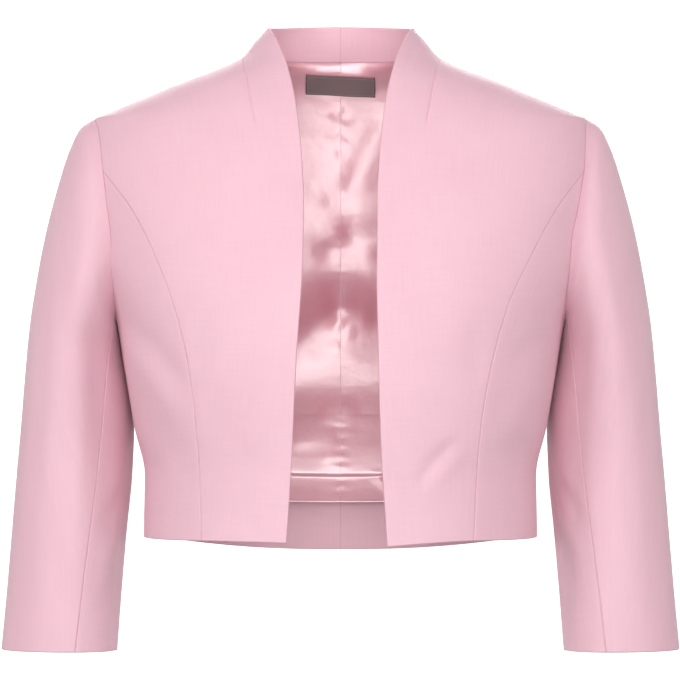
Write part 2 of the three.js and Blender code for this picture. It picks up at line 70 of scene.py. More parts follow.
class Shade:
    """One socket of a material, so that a finish is written as sums of what its real surface does."""

    def __init__(self, tree, socket=None):
        self.tree = tree
        self.socket = socket

    def node(self, kind, settings=None, inputs=None, output=0):
        made = self.tree.nodes.new(kind)
        for setting, value in (settings or {}).items():
            setattr(made, setting, value)
        for place, value in (inputs or {}).items():
            if isinstance(value, Shade):
                self.tree.links.new(value.socket, made.inputs[place])
            else:
                made.inputs[place].default_value = value
        return Shade(self.tree, made.outputs[output])

    def maths(self, operation, first, second=0.0):
        return self.node("ShaderNodeMath", {"operation": operation}, {0: first, 1: second})

    def __add__(self, other):
        return self.maths("ADD", self, other)

    __radd__ = __add__

    def __rsub__(self, other):
        return self.maths("SUBTRACT", other, self)

    def __mul__(self, other):
        return self.maths("MULTIPLY", self, other)

    __rmul__ = __mul__

    def sine(self):
        return self.maths("SINE", self)

    def between(self, low, high):
        """0 below low, 1 above high, and smooth between them."""
        limits = {"From Min": low, "From Max": high, "Value": self}
        return self.node("ShaderNodeMapRange", {"interpolation_type": "SMOOTHSTEP"}, limits)

    def noise(self, place, scale, detail=2.0):
        sizes = {"Vector": place, "Scale": scale, "Detail": detail}
        return self.node("ShaderNodeTexNoise", {"noise_dimensions": "3D"}, sizes, "Fac")

    def blend(self, colour, other, share):
        """One colour going over to another."""
        return self.node("ShaderNodeMix", {"data_type": "RGBA"}, {0: share, 6: colour, 7: other}, 2)


def glowing_studio_paint():
    """White paint with a painted glow, which goes over to pure white towards the wall."""
    paint = bpy.data.materials.new("studio_white_glow")
    paint.use_nodes = True
    surface = paint.node_tree.nodes["Principled BSDF"]
    shade = Shade(paint.node_tree)
    place = shade.node("ShaderNodeTexCoord", output="Object")
    # painted glow: the emission grows from dim near the jacket to full white at the wall
    back = shade.node("ShaderNodeSeparateXYZ", None, {0: place}, "Y").between(0.5, 6.0)
    glow = shade.blend((0.1, 0.1, 0.1, 1), (1, 1, 1, 1), back)
    shade.tree.links.new(glow.socket, surface.inputs["Emission Color"])
    surface.inputs["Emission Strength"].default_value = 1.1
    surface.inputs["Base Color"].default_value = (0.6, 0.6, 0.6, 1)
    surface.inputs["Roughness"].default_value = 0.9
    return paint


def lamp(name, place, size, watts):
    light = bpy.data.lights.new(name, "AREA")
    light.shape = "RECTANGLE"
    light.size, light.size_y = size
    light.energy = watts
    holder = bpy.data.objects.new(name, light)
    bpy.context.scene.collection.objects.link(holder)
    holder.location = place
    aim = Vector(LAMPS_AIM) - Vector(place)
    holder.rotation_euler = aim.to_track_quat("-Z", "Y").to_euler()
    holder.visible_camera = False
    return holder


bend = [math.pi / 2 * step / SWEEP_STEPS for step in range(SWEEP_STEPS + 1)]
profile = [(-FLOOR_REACH, FLOOR_Z)]
profile += [
    (FLOOR_REACH - SWEEP_RADIUS * (1 - math.sin(a)), FLOOR_Z + SWEEP_RADIUS * (1 - math.cos(a)))
    for a in bend
]
profile.append((FLOOR_REACH, WALL_TOP))
sweep = bpy.data.meshes.new("sweep")
sweep.from_pydata(
    [(x, y, z) for x in (-FLOOR_HALF_WIDTH, FLOOR_HALF_WIDTH) for y, z in profile],
    [],
    [(i, i + 1, len(profile) + i + 1, len(profile) + i) for i in range(len(profile) - 1)],
)
sweep.materials.append(glowing_studio_paint())
backdrop = bpy.data.objects.new("studio_sweep", sweep)
bpy.context.scene.collection.objects.link(backdrop)
backdrop.visible_diffuse = False  # it glows white behind the jacket without lighting it

front_light = lamp("front_light", (0.0, -1.4, -0.12), (0.64, 0.5), 6.6)
front_light.visible_glossy = False  # so that the satin doesn't mirror it
top_light = lamp("top_light", (0.0, -2.4, 2.6), (2.4, 1.2), 33)
top_light.visible_glossy = False  # so that the upper sides of the satin's folds stay dull
lamp("left_light", (-3.6, -2.2, 1.0), (1.2, 2.0), 62)
lamp("right_light", (3.6, -2.2, 1.0), (1.2, 2.0), 43)
lamp("back_light", (0.0, 4.2, 1.6), (3.0, 1.6), 130)
inside_light = lamp("inside_light", (0.0, -0.06, -0.19), (0.05, 0.4), 0.13)
inside_light.rotation_euler = (math.radians(90), 0, 0)  # it faces the back, not the lamps' common aim
inside_light.visible_glossy = False
low_card = lamp("low_card", (0.0, -1.6, -1.1), (2.2, 2.7), 116)
low_card.visible_diffuse = False  # only the satin's gloss shows it

air = bpy.data.worlds.new("air")
air.use_nodes = True
air.node_tree.nodes["Background"].inputs["Color"].default_value = (0.97, 0.98, 1.0, 1)
air.node_tree.nodes["Background"].inputs["Strength"].default_value = 0.4
bpy.context.scene.world = air


# Fronts
# Each front is cut in one with its stand, which runs round the neck to the centre back, and a dart from the
# neck point shapes it. It is wool-like suiting with fused interlining, faced with itself beside the edge and
# lined with satin behind that, sewn to the side front and the back and set under the sleeve.
MM = 0.001
BODY_WALL = 2.0  # millimetres, as all the sizes of the cut
SEAM_HALF_GAP = 0.004
SHOULDER_TIP_Z = -52.0
ARMHOLE_HEIGHT = 170.0
UNDERARM_Z = SHOULDER_TIP_Z - ARMHOLE_HEIGHT
HEM_Z = -402.0
TURNED_HEM = 43.0
PRINCESS_TOP_Z = -97.0
FRONT_CORNER_DROP = {"left": 4.3, "right": 1.0}
OPENING_LEAN = {"most": 3.0, "full_z": -300, "none_z": -119}
STAND_TOP = {"side": 25.5, "back": 29.2}
STAND_PROUD = 5.0
SIDES = {"left": 1, "right": -1}  # the wearer's sides, and where each lies along X


def columns(names, rows):
    return dict(zip(names.split(), np.array(rows, float).T))


# The worn form: level sections from the hem up, then the cut lines that are drawn on it.
FORM = columns("z width round front back square", [
    (-425, 164.2, 164.2, 112, 86, 2.5),
    (-402, 164.0, 164.0, 112, 86, 2.5),
    (-350, 163.1, 163.1, 114.5, 85, 2.5),
    (-310, 171.7, 171.7, 119, 86.5, 2.5),
    (-272, 178.3, 178.3, 123, 89.5, 2.5),
    (-222, 186.6, 186.6, 125, 94.5, 2.55),
    (-200, 192.2, 192.2, 123.5, 96.5, 2.6),
    (-175, 200.0, 200.0, 119.5, 98, 2.6),
    (-153, 204.5, 204.5, 115, 98, 2.6),
    (-122, 211.0, 211.0, 107, 96, 2.6),
    (-97, 212.8, 212.8, 98, 92.5, 2.57),
    (-75, 210.4, 207.5, 90, 88.5, 2.5),
    (-52, 205.0, 189.0, 80, 82, 2.35),
    (-26, 142.8, 139.5, 66, 73, 2.15),
    (0, 81.4, 81.4, 52, 62, 2),
    (12, 71.2, 71.2, 46, 57.5, 2),
    (30, 55.2, 55.2, 39, 52, 2),
])
SHOULDER_EDGE = {"z": -50, "width": 200.2}
SHOULDER_SHARPNESS = 6
OPENING = columns("z x", [(-410, 41.5), (-329, 36.4), (-245, 33.0), (-175, 30.2), (-119, 30.0), (-97, 31.0)])
PRINCESS = columns("z x lean", [
    (-410, 111.0, -2.4),
    (-341, 113.7, -1.9),
    (-300, 117.4, -1.7),
    (-257, 124.0, -0.5),
    (-210, 136.3, 0.3),
    (-166, 154.9, 2.2),
    (-130, 173.9, 2.9),
])
SHAWL = columns("step edge_x edge_z dart_x dart_z", [
    (0, 31.0, -97, 66.0, -97),
    (1, 32.2, -79, 68.0, -79),
    (2, 34.0, -61, 70.2, -62),
    (3, 36.5, -43, 73.0, -46),
    (4, 40.0, -25, 75.6, -32),
    (5, 45.0, -6, 78.2, -19),
    (6, 50.5, 9, 80.2, -9),
    (7, 55.7, 19, 81.4, -2.6),
    (8, 59.7, 25, 82.0, 0),
])
ARMHOLE = {
    "left": {"front": {"reach": 56, "full": 0.22}, "back": {"reach": 55, "full": 0.15}},
    "right": {"front": {"reach": 60, "full": 0.08}, "back": {"reach": 55, "full": 0.15}},
}


def lerp(a, b, share):
    return a + (b - a) * share


def smoothstep(x, low, high):
    s = np.clip((x - low) / (high - low), 0, 1)
    return s * s * (3 - 2 * s)


def along(table, key, column):
    """A smooth curve through one column of a table, without overshoot, read at any value of the key."""
    t, v = table[key], table[column]
    slope = np.diff(v) / np.diff(t)
    before, after = slope[:-1], slope[1:]
    same_way = before * after > 0
    middle = np.where(same_way, 2 * before * after / np.where(same_way, before + after, 1), 0)
    bends = np.concatenate([slope[:1], middle, slope[-1:]])

    def read(x):
        i = np.clip(np.searchsorted(t, x) - 1, 0, len(t) - 2)
        span = t[i + 1] - t[i]
        s = np.clip((x - t[i]) / span, 0, 1)
        tangents = span * (bends[i] * s * (1 - s) ** 2 - bends[i + 1] * s * s * (1 - s))
        return lerp(v[i], v[i + 1], s * s * (3 - 2 * s)) + tangents

    return read


shoulder_row = int(np.searchsorted(FORM["z"], SHOULDER_EDGE["z"]))
EDGE_FORM = {key: np.insert(FORM[key], shoulder_row, SHOULDER_EDGE[key]) for key in SHOULDER_EDGE}
form_round, form_edge = along(FORM, "z", "round"), along(EDGE_FORM, "z", "width")
form_front, form_back = along(FORM, "z", "front"), along(FORM, "z", "back")
form_square = along(FORM, "z", "square")
opening_half = along(OPENING, "z", "x")


def half_width(turn, z):
    return lerp(form_round(z), form_edge(z), np.cos(turn) ** SHOULDER_SHARPNESS)


def form_point(turn, z):
    """A point of the form, wearer's left. Turn is 0 at the side and a quarter turn at the centre front."""
    power = 2 / form_square(z)
    depth = np.where(turn > 0, form_front(z), form_back(z))
    c, s = np.cos(turn), np.sin(turn)
    x = half_width(turn, z) * np.sign(c) * np.abs(c) ** power
    y = -depth * np.sign(s) * np.abs(s) ** power
    return np.stack([x, y, z + 0 * turn], axis=-1)


def form_normal(turn, z):
    turn_step, z_step = 0.01, 0.5
    around = form_point(turn + turn_step, z) - form_point(turn - turn_step, z)
    up = form_point(turn, z + z_step) - form_point(turn, z - z_step)
    normal = np.cross(up, around)
    return normal / np.linalg.norm(normal, axis=-1, keepdims=True)


def turn_at_x(x, z):
    turn = np.zeros(np.broadcast(x, z).shape)
    for _ in range(6):
        turn = np.arccos(np.clip(x / half_width(turn, z), 0, 1) ** (form_square(z) / 2))
    return turn


def turn_at_y(y, z):
    depth = np.where(y < 0, form_front(z), form_back(z))
    return -np.sign(y) * np.arcsin((np.abs(y) / depth) ** (form_square(z) / 2))


def armhole_z(degrees):
    return SHOULDER_TIP_Z - ARMHOLE_HEIGHT / 2 * (1 - np.cos(np.radians(degrees)))


def armhole_degrees(z):
    return np.degrees(np.arccos(np.clip(1 - (SHOULDER_TIP_Z - z) / (ARMHOLE_HEIGHT / 2), -1, 1)))


def armhole(side, degrees):
    a = np.radians(degrees)
    in_front = np.sin(a) > 0
    reach = np.where(in_front, ARMHOLE[side]["front"]["reach"], ARMHOLE[side]["back"]["reach"])
    full = np.where(in_front, ARMHOLE[side]["front"]["full"], ARMHOLE[side]["back"]["full"])
    z = armhole_z(degrees)
    return turn_at_y(-reach * np.sin(a) * (1 - full * np.cos(a)), z), z


def shifted(turn, z, millimetres):
    """A turn moved along the form by a distance."""
    step = 0.01
    around = np.linalg.norm(form_point(turn + step, z) - form_point(turn, z), axis=-1) / step
    return turn + millimetres / around


def princess_curve(side):
    lean = PRINCESS["lean"] * SIDES[side]
    top = form_point(*armhole(side, armhole_degrees(PRINCESS_TOP_Z)))
    z = np.append(PRINCESS["z"], top[2])
    return along({"z": z, "x": np.append(PRINCESS["x"] + lean, top[0])}, "z", "x")


princess_half = {side: princess_curve(side) for side in SIDES}
PRINCESS_LOWER, PRINCESS_ROWS = 9, 16


def princess_level(row):
    """The height of a row that the front's two panels share, hem to armhole."""
    share = (row - PRINCESS_LOWER) / (PRINCESS_ROWS - PRINCESS_LOWER)
    upper = armhole_z(lerp(180, armhole_degrees(PRINCESS_TOP_Z), share))
    return np.where(row <= PRINCESS_LOWER, lerp(HEM_Z, UNDERARM_Z, row / PRINCESS_LOWER), upper)


EDGE_TICKS = (0, 0.12, 0.35, 0.65, 1.05, 1.6, 2.5, 4.2)  # where the rows lie beside an edge


def ticks(start, end, length, step):
    """Places along a side of a panel, close together beside its two edges and even between them."""
    near = np.array(EDGE_TICKS) / length
    count = max(2, round((1 - 2 * near[-1]) * length / step))
    middle = np.linspace(near[-1], 1 - near[-1], count + 1)[1:-1]
    return start + (end - start) * np.concatenate([near, middle, 1 - near[::-1]])


CREASE_ENDS = {"from": 0.4, "fall": 5}  # where a crease starts to fade, and how steeply


def creases(a, b, rows):
    """The height of listed soft creases. Each goes from one place to another, and has a height, a width
    on its right-hand and left-hand side, and a bow."""
    total = np.zeros(a.shape)
    for from_a, from_b, to_a, to_b, height, right, left, bow in rows:
        run = math.hypot(to_a - from_a, to_b - from_b)
        way = ((to_a - from_a) / run, (to_b - from_b) / run)
        t = ((a - from_a) * way[0] + (b - from_b) * way[1]) / run
        aside = (a - from_a) * way[1] - (b - from_b) * way[0]
        aside = aside - bow * np.clip(4 * t * (1 - t), -1, 1)
        past = np.clip(np.abs(2 * t - 1) - CREASE_ENDS["from"], 0, None)
        fade = np.exp(-(past**2) * CREASE_ENDS["fall"])
        width = np.where(aside > 0, right, left)
        total = total + height * np.exp(-((aside / width) ** 2)) * fade
    return total


def chord(points, axis):
    """Lengths along a grid of points, from its first row or column."""
    steps = np.linalg.norm(np.diff(points, axis=axis), axis=-1)
    return np.insert(np.cumsum(steps, axis=axis), 0, 0, axis=axis)


def patch(points, across=0.0, up=0.0, seams="", free="", inside=0):
    """A grid of points in the middle of the cloth, its grain lines, its edges, and its finish inside."""
    return {
        "points": points,
        "u": np.broadcast_to(across, points.shape[:2]) + chord(points, 1),
        "v": np.broadcast_to(up, points.shape[:2]) + chord(points, 0),
        "seams": seams.split(),
        "free": free.split(),
        "inside": np.broadcast_to(inside, points.shape[:2]),
    }


CUT_FROM = {"left": 0.0, "right": 700.0}  # the two sides lie apart on the cloth, so they aren't mirror images
SIDE_OF_GRID = {"low": np.s_[0], "high": np.s_[-1], "first": np.s_[:, 0], "last": np.s_[:, -1]}


def away_from(points, lines, reach=12.0):
    """How far each point is from the nearest of some lines, up to a reach."""
    found = np.full(len(points), reach)
    if not lines:
        return found
    tree = KDTree(sum(len(line) for line in lines))
    ends = []
    for line in lines:
        for i, p in enumerate(line):
            tree.insert(p, len(ends))
            ends.append((line[max(0, i - 1)], p, line[min(len(line) - 1, i + 1)]))
    tree.balance()
    ends = np.array(ends)
    nearest = np.array([tree.find(p)[1] for p in points])
    for other in (0, 2):
        a, b = ends[nearest, 1], ends[nearest, other]
        run = b - a
        share = np.einsum("ij,ij->i", points - a, run) / np.maximum(np.einsum("ij,ij->i", run, run), 1e-12)
        foot = a + run * np.clip(share, 0, 1)[:, None]
        found = np.minimum(found, np.linalg.norm(points - foot, axis=1))
    return found


SEAM = {"dip": 0.5, "roll": 0.45, "inner_dip": 0.03, "inner_roll": 0.12}  # how both faces turn into a seam
ALLOWANCE = {"height": 0.15, "width": 9.0}  # the pressed-open seam allowance that shows through
WELD = 0.002  # points of neighbouring patches closer than this become one
SHARP_EDGE = math.radians(60)


def cloth_shell(name, patches, wall, finishes, centre, tucks=()):
    """A shell of cloth from its patches. Its outer face rolls into the seams, and its free edges are round.
    A tuck is a line, a depth and a width."""
    points = np.concatenate([p["points"].reshape(-1, 3) for p in patches])
    grain = np.concatenate([np.stack([p["u"], p["v"]], -1).reshape(-1, 2) for p in patches])
    middles = [np.broadcast_to(centre(p["points"]), p["points"].shape) for p in patches]
    middle = np.concatenate([m.reshape(-1, 3) for m in middles])
    faces, finish_inside, lines, start = [], [], {"seams": [], "free": []}, 0
    for p in patches:
        rows, wide = p["points"].shape[:2]
        index = start + np.arange(rows * wide).reshape(rows, wide)
        four = [index[:-1, :-1], index[:-1, 1:], index[1:, 1:], index[1:, :-1]]
        faces.append(np.stack(four, -1).reshape(-1, 4))
        finish_inside.append(p["inside"][:-1, :-1].ravel())
        for kind in lines:
            lines[kind] += [p["points"][SIDE_OF_GRID[edge]] for edge in p[kind]]
        start += rows * wide
    faces, finish_inside = np.concatenate(faces), np.concatenate(finish_inside).astype(int)
    cells = np.round(points / WELD).astype(np.int64)
    _, first, same = np.unique(cells, axis=0, return_index=True, return_inverse=True)
    points, grain, middle = points[first], grain[first], middle[first]
    faces = same.reshape(-1)[faces]

    corners = points[faces]
    face_normals = np.cross(corners[:, 2] - corners[:, 0], corners[:, 3] - corners[:, 1])
    normals = np.zeros_like(points)
    for corner in range(4):
        np.add.at(normals, faces[:, corner], face_normals)
    normals /= np.maximum(np.linalg.norm(normals, axis=1, keepdims=True), 1e-12)
    if np.einsum("ij,ij->", normals, points - middle) < 0:
        normals, faces = -normals, faces[:, ::-1]

    to_seam, to_free = away_from(points, lines["seams"]), away_from(points, lines["free"])
    roll = np.sqrt(1 - (1 - np.clip(to_free / (wall / 2), 0, 1)) ** 2)
    dip = min(SEAM["dip"], wall * 0.6) * np.exp(-((to_seam / SEAM["roll"]) ** 2))
    inner_dip = SEAM["inner_dip"] * wall * np.exp(-((to_seam / SEAM["inner_roll"]) ** 2))
    ridge = ALLOWANCE["height"] * (1 - smoothstep(to_seam, ALLOWANCE["width"] * 0.75, ALLOWANCE["width"]))
    outer = wall / 2 * roll - dip + ridge * roll
    for line, depth, width in tucks:
        away = away_from(points, [line])
        outer = outer - depth * np.exp(-((away / width) ** 2))
    count = len(points)
    inner = inner_dip - wall / 2 * roll
    both = np.concatenate([points + normals * outer[:, None], points + normals * inner[:, None]])

    sides = np.concatenate([faces[:, [0, 1]], faces[:, [1, 2]], faces[:, [2, 3]], faces[:, [3, 0]]])
    _, which, uses = np.unique(np.sort(sides, axis=1), axis=0, return_index=True, return_counts=True)
    rim = sides[which[uses == 1]]
    rim_faces = np.stack([rim[:, 1], rim[:, 0], rim[:, 0] + count, rim[:, 1] + count], -1)

    mesh = bpy.data.meshes.new(name)
    all_faces = np.concatenate([faces, faces[:, ::-1] + count, rim_faces])
    mesh.from_pydata((both * MM).tolist(), [], all_faces.tolist())
    for finish in finishes:
        mesh.materials.append(finish)
    rim_finish = np.zeros(len(rim_faces), int)
    face_finish = np.concatenate([0 * finish_inside, finish_inside, rim_finish])
    mesh.polygons.foreach_set("material_index", face_finish)
    edge = np.minimum(to_seam, to_free)
    marks = np.column_stack([grain, edge]) * MM
    marked = mesh.attributes.new("grain", "FLOAT_VECTOR", "POINT")
    marked.data.foreach_set("vector", np.concatenate([marks, marks]).astype(np.float32).ravel())
    mesh.validate()
    mesh.shade_smooth()
    mesh.set_sharp_from_angle(angle=SHARP_EDGE)
    made = bpy.data.objects.new(name, mesh)
    bpy.context.scene.collection.objects.link(made)
    return made


def tint(red, green, blue):
    """A linear colour from the numbers that a screen shows."""
    linear = [((c / 255 + 0.055) / 1.055) ** 2.4 for c in (red, green, blue)]
    return (*linear, 1.0)


def start_finish(name):
    """A new material, its shader, and its grain: across, along and from the nearest edge, in metres."""
    material = bpy.data.materials.new(name)
    material.use_nodes = True
    surface = material.node_tree.nodes["Principled BSDF"]
    shade = Shade(material.node_tree)
    grain = shade.node("ShaderNodeAttribute", {"attribute_name": "grain"}, output="Vector")
    split = shade.node("ShaderNodeSeparateXYZ", None, {0: grain})
    across, up, edge = (Shade(shade.tree, split.socket.node.outputs[axis]) for axis in "XYZ")
    return material, surface, shade, across, up, edge


def set_finish(shade, surface, links, constants):
    for name, value in links.items():
        shade.tree.links.new(value.socket, surface.inputs[name])
    for name, value in constants.items():
        surface.inputs[name].default_value = value


SUITING = {
    "thread": 0.00052,
    "light": tint(231, 186, 198),
    "deep": tint(225, 177, 190),
    # edge is the colour of the painted shade along seams and free edges
    "edge": tint(196, 134, 150),
}


def suiting_finish():
    """Fine plain-weave suiting: two sets of threads, faint slubs along both, and painted shade along its
    seams and edges.
    """
    material, surface, shade, across, up, edge = start_finish("face_cloth")
    turns = 2 * math.pi / SUITING["thread"]
    weave = (across * turns).sine() * (up * turns).sine()
    flat = {"X": across * 30, "Y": up * 800}
    weft = shade.noise(shade.node("ShaderNodeCombineXYZ", None, flat), 1.0, 3.0)
    tall = {"X": across * 800, "Y": up * 30}
    warp = shade.noise(shade.node("ShaderNodeCombineXYZ", None, tall), 1.0, 3.0)
    cloud = shade.noise(shade.node("ShaderNodeCombineXYZ", None, {"X": across, "Y": up}), 14.0)
    slub = (weft + warp) * 0.5
    share = slub.between(0.35, 0.65) * 0.45 + cloud.between(0.3, 0.7) * 0.35 + weave * 0.06
    colour = shade.blend(SUITING["light"], SUITING["deep"], share)
    # painted shade: darker within a millimetre of every seam and free edge
    seam_shade = 1 - edge.between(0.0001, 0.0008)
    colour = shade.blend(colour, SUITING["edge"], seam_shade * 0.4)
    height = weave * 0.5 + slub * 1.2
    relief = {"Strength": 0.35, "Distance": 0.00018, "Height": height}
    bump = shade.node("ShaderNodeBump", None, relief, "Normal")
    rough = slub * 0.12 + 0.5
    links = {"Base Color": colour, "Roughness": rough, "Normal": bump}
    constants = {"Sheen Weight": 0.18, "Sheen Roughness": 0.45, "Specular IOR Level": 0.35}
    set_finish(shade, surface, links, constants)
    return material


# edge is the colour of the painted shade along seams and free edges
SATIN = {"light": tint(206, 145, 157), "deep": tint(193, 127, 140), "edge": tint(160, 95, 108)}


def satin_finish():
    """Lining satin: smooth floats that shine, small soft crumples, slightly uneven dye, and painted shade
    along its seams and edges.
    """
    material, surface, shade, across, up, edge = start_finish("lining_satin")
    place = shade.node("ShaderNodeCombineXYZ", None, {"X": across, "Y": up})
    floats = shade.noise(shade.node("ShaderNodeCombineXYZ", None, {"X": across * 900, "Y": up * 40}), 1.0)
    cloud = shade.noise(place, 22.0)
    crumple = shade.noise(place, 46.0, 3.0)
    colour = shade.blend(SATIN["light"], SATIN["deep"], cloud.between(0.3, 0.7) * 0.7 + floats * 0.1)
    # painted shade: darker within half a millimetre of every seam and free edge
    colour = shade.blend(colour, SATIN["edge"], (1 - edge.between(0.0001, 0.0005)) * 0.45)
    relief = {"Strength": 0.6, "Distance": 0.0011, "Height": crumple}
    bump = shade.node("ShaderNodeBump", None, relief, "Normal")
    rough = cloud * 0.08 + floats * 0.02 + 0.25
    links = {"Base Color": colour, "Roughness": rough, "Normal": bump}
    set_finish(shade, surface, links, {"IOR": 1.75, "Specular IOR Level": 0.9, "Sheen Weight": 0.1})
    return material


suiting, satin = suiting_finish(), satin_finish()
BODY_CREASES = {
    # place on the body seen from the front, across from the middle and up, in millimetres
    "front_left": [
        (96, -318, 60, -358, -1.1, 5.5, 5.5, 2),
        (104, -326, 70, -362, 0.7, 6, 6, 1),
        (108, -222, 116, -268, -0.9, 9, 9, 3),
        (52, -150, 58, -330, 0.5, 16, 16, 4),
        (150, -70, 96, -118, -0.8, 14, 14, 5),
        (186, -92, 140, -150, 0.6, 12, 12, -4),
    ],
    "front_right": [
        (98, -300, 66, -352, -0.6, 8, 8, 2),
        (110, -206, 122, -262, -0.7, 10, 10, 3),
        (50, -170, 60, -350, 0.5, 16, 16, -3),
        (150, -72, 98, -120, -0.7, 14, 14, 5),
        (184, -96, 146, -148, 0.6, 12, 12, -4),
    ],
    "side_front_left": [
        (176, -232, 136, -262, -1.2, 9, 9, 3),
        (168, -262, 128, -318, 1.0, 10, 10, -3),
        (160, -318, 128, -336, -0.8, 8, 8, 1),
    ],
    "side_front_right": [
        (180, -218, 128, -282, -2.0, 9, 9, 4),
        (174, -246, 130, -306, 1.7, 10, 10, 3),
        (162, -300, 126, -340, -1.1, 9, 9, 2),
        (196, -160, 170, -205, 0.8, 9, 9, 2),
    ],
    "back": [
        (30, -60, 120, -150, 0.9, 18, 18, 6),
        (196, -200, 90, -232, -1.5, 12, 12, -6),
        (176, -250, 70, -290, 1.3, 13, 13, -5),
        (160, -318, 40, -336, -1.4, 11, 11, 4),
        (24, -250, 30, -380, 0.8, 12, 12, 2),
        (110, -60, 170, -96, -0.8, 14, 14, -3),
    ],
}


def on_form(side, turn, z, lift=0.0, crease_rows=()):
    """Points on the form on one side of the body, lifted off it, with creases pressed into them."""
    place, normal = form_point(turn, z), form_normal(turn, z)
    height = lift + creases(place[..., 0], place[..., 2], crease_rows)
    return (place + normal * height[..., None]) * (SIDES[side], 1, 1)


def mix(a, b, share):
    return lerp(a[0], b[0], share), lerp(a[1], b[1], share)


SHAWL_COLUMNS, PANEL_COLUMNS, SHAWL_ROWS, STAND_ROWS = 4, 8, 8, 5
DART_SHARE = 0.3  # at the hem, where the facing ends between the opening and the princess seam
shawl_edge_x, shawl_edge_z = along(SHAWL, "step", "edge_x"), along(SHAWL, "step", "edge_z")
shawl_dart_x, shawl_dart_z = along(SHAWL, "step", "dart_x"), along(SHAWL, "step", "dart_z")


def front_places(side, row, column):
    """Turn, height and lift of the front at its rows and columns: hem to chest, then chest to neck point."""
    in_shawl = np.minimum(1, column / SHAWL_COLUMNS)
    in_panel = np.maximum(0, (column - SHAWL_COLUMNS) / PANEL_COLUMNS)
    level = princess_level(np.minimum(row, PRINCESS_ROWS))
    share = (level - HEM_Z) / (PRINCESS_TOP_Z - HEM_Z)
    lean = OPENING_LEAN["most"] * (1 - smoothstep(level, OPENING_LEAN["full_z"], OPENING_LEAN["none_z"]))
    edge_x = opening_half(level) - SIDES[side] * lean
    seam_x = princess_half[side](level)
    dart_x = lerp(lerp(edge_x, seam_x, DART_SHARE), SHAWL["dart_x"][0], share**2)
    edge, dart = turn_at_x(edge_x, level), turn_at_x(dart_x, level)
    seam = shifted(turn_at_x(seam_x, level), level, SEAM_HALF_GAP)
    turn = np.where(in_panel > 0, lerp(dart, seam, in_panel), lerp(edge, dart, in_shawl))
    corner = np.clip((seam_x - form_point(turn, level)[..., 0]) / (seam_x - edge_x), 0, 1)
    drop = FRONT_CORNER_DROP[side] * corner**1.5 * (1 - share) ** 2
    body = turn, level - drop

    step = np.clip(row - PRINCESS_ROWS, 0, SHAWL_ROWS)
    edge_z, dart_z = shawl_edge_z(step), shawl_dart_z(step)
    shoulder = turn_at_y(-SEAM_HALF_GAP, dart_z)
    dart = np.maximum(turn_at_x(shawl_dart_x(step), dart_z), shoulder), dart_z
    around = lerp(armhole_degrees(PRINCESS_TOP_Z), 0, step / SHAWL_ROWS)
    hole_turn, hole_z = armhole(side, around)
    outer = np.maximum(shifted(hole_turn, hole_z, SEAM_HALF_GAP), turn_at_y(-SEAM_HALF_GAP, hole_z)), hole_z
    shawl = mix((turn_at_x(shawl_edge_x(step), edge_z), edge_z), dart, in_shawl)
    panel = mix(dart, outer, in_panel)
    upper = np.where(in_panel > 0, panel[0], shawl[0]), np.where(in_panel > 0, panel[1], shawl[1])
    lift = STAND_PROUD * np.sin(np.pi * step / SHAWL_ROWS) ** 2 * (1 - in_shawl)
    on_body = row <= PRINCESS_ROWS
    return np.where(on_body, body[0], upper[0]), np.where(on_body, body[1], upper[1]), lift


def stand_places(side, row, column):
    """Turn and height of the stand, from the neck point round to the centre back."""
    share, down = row / STAND_ROWS, column / SHAWL_COLUMNS
    around = turn_at_x(np.full(row.shape, SEAM_HALF_GAP), np.zeros(row.shape)) * share
    top = lerp(STAND_TOP["side"], STAND_TOP["back"], np.sin(around) ** 2)
    z = lerp(top, SEAM_HALF_GAP, down)
    start_turn, start_z, _ = front_places(side, 0 * row + PRINCESS_ROWS + SHAWL_ROWS, column)
    settle = (1 - share) ** 4
    start_level = lerp(STAND_TOP["side"], SEAM_HALF_GAP, down)
    return start_turn * settle - around, z + (start_z - start_level) * settle


BODY_STEP = 3.0  # millimetres between the rows of a panel
FRONT_SIZE = {"rows": 425, "shawl": 40, "panel": 105, "stand": 95}
DART = {"first_row": 2.3, "depth": 0.8, "width": 0.8}
BODY_AXIS = np.array((0, 0, 1))


def down_the_middle(points):
    return points * BODY_AXIS


def front(side):
    creased = BODY_CREASES[f"front_{side}"]
    chest = PRINCESS_ROWS + SHAWL_ROWS
    rows = ticks(0, chest, FRONT_SIZE["rows"], BODY_STEP)
    shawl_columns = ticks(0, SHAWL_COLUMNS, FRONT_SIZE["shawl"], BODY_STEP)
    panel_columns = ticks(SHAWL_COLUMNS, SHAWL_COLUMNS + PANEL_COLUMNS, FRONT_SIZE["panel"], BODY_STEP)
    grids = [np.meshgrid(rows, wide, indexing="ij") for wide in (shawl_columns, panel_columns)]
    shawl_points, panel_points = (on_form(side, *front_places(side, *grid), creased) for grid in grids)
    shawl = patch(shawl_points, across=CUT_FROM[side], free="low first")
    turned = panel_points[..., 2] > HEM_Z + TURNED_HEM
    panel = patch(panel_points, across=shawl["u"][:, -1:], free="low", seams="last high", inside=turned)
    stand_rows = ticks(0, STAND_ROWS, FRONT_SIZE["stand"], BODY_STEP)
    stand_grid = np.meshgrid(stand_rows, shawl_columns, indexing="ij")
    stand_points = on_form(side, *stand_places(side, *stand_grid), 0 * stand_grid[0], creased)
    stand = patch(stand_points, across=CUT_FROM[side], up=shawl["v"][-1:], free="first", seams="last high")
    dart_line = shawl_points[rows > PRINCESS_ROWS + DART["first_row"], -1]
    return cloth_shell(
        f"front_{side}_cloth", [shawl, panel, stand], BODY_WALL, [suiting, satin], down_the_middle,
        tucks=[(dart_line, DART["depth"], DART["width"])],
    )


for side in SIDES:
    made = front(side)
    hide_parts(f"front_{side}")
    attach(made, "root")


